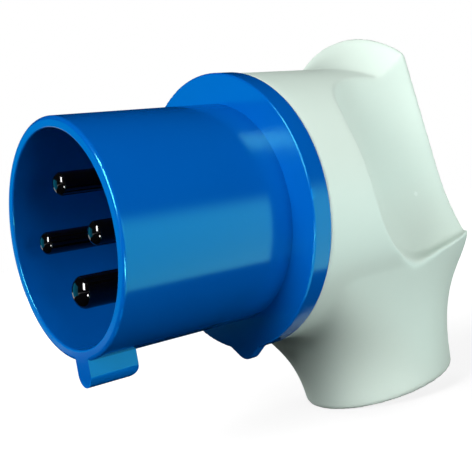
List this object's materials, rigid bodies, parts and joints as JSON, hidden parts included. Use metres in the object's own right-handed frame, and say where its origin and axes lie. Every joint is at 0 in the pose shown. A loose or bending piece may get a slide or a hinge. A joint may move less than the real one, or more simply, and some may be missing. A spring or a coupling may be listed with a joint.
{
  "type": "industrial plug",
  "caption": "Angled pin-and-sleeve plug: blue sleeve with flange and key, round pins, and a pale elbow housing with finger troughs, a pull lip and a leaning cable outlet.",
  "frame": {"origin": "centre of the sleeve's mouth, on the barrel axis", "axes": "+X runs back along the barrel from the mouth, +Z points away from the key and the cable outlet, and the plug is a mirror image about y = 0"},
  "size_m": [0.1012, 0.0644, 0.0923],
  "materials": {
    "blue_shell": "semi-gloss moulding",
    "blue_carrier": "satin moulding",
    "pale_shell": "satin moulding",
    "black_contact": "polished black pin",
    "dark_plate": "moulded",
    "brass_parts": "turned",
    "steel_screws": "zinc plated",
    "rubber_seals": "matt"
  },
  "bodies": {
    "root": {"front_sleeve": "blue_shell", "rear_housing": "pale_shell", "contact_carrier": "blue_carrier", "carrier_backplate": "dark_plate", "pin_l1": "black_contact", "pin_l2": "black_contact", "pin_l3": "black_contact", "pin_earth": "black_contact", "clamp_leaf_l1": "steel_screws", "clamp_leaf_l2": "steel_screws", "clamp_leaf_l3": "steel_screws", "clamp_leaf_earth": "steel_screws", "terminal_screws": "steel_screws", "earth_terminal_screw": "steel_screws", "backplate_screw": "steel_screws", "assembly_screws": "steel_screws", "housing_inserts": "brass_parts", "flange_seal": "rubber_seals", "gland_grommet": "rubber_seals", "gland_washer": "dark_plate", "gland_claw": "dark_plate", "gland_nut": "pale_shell"}
  },
  "joints": []
}
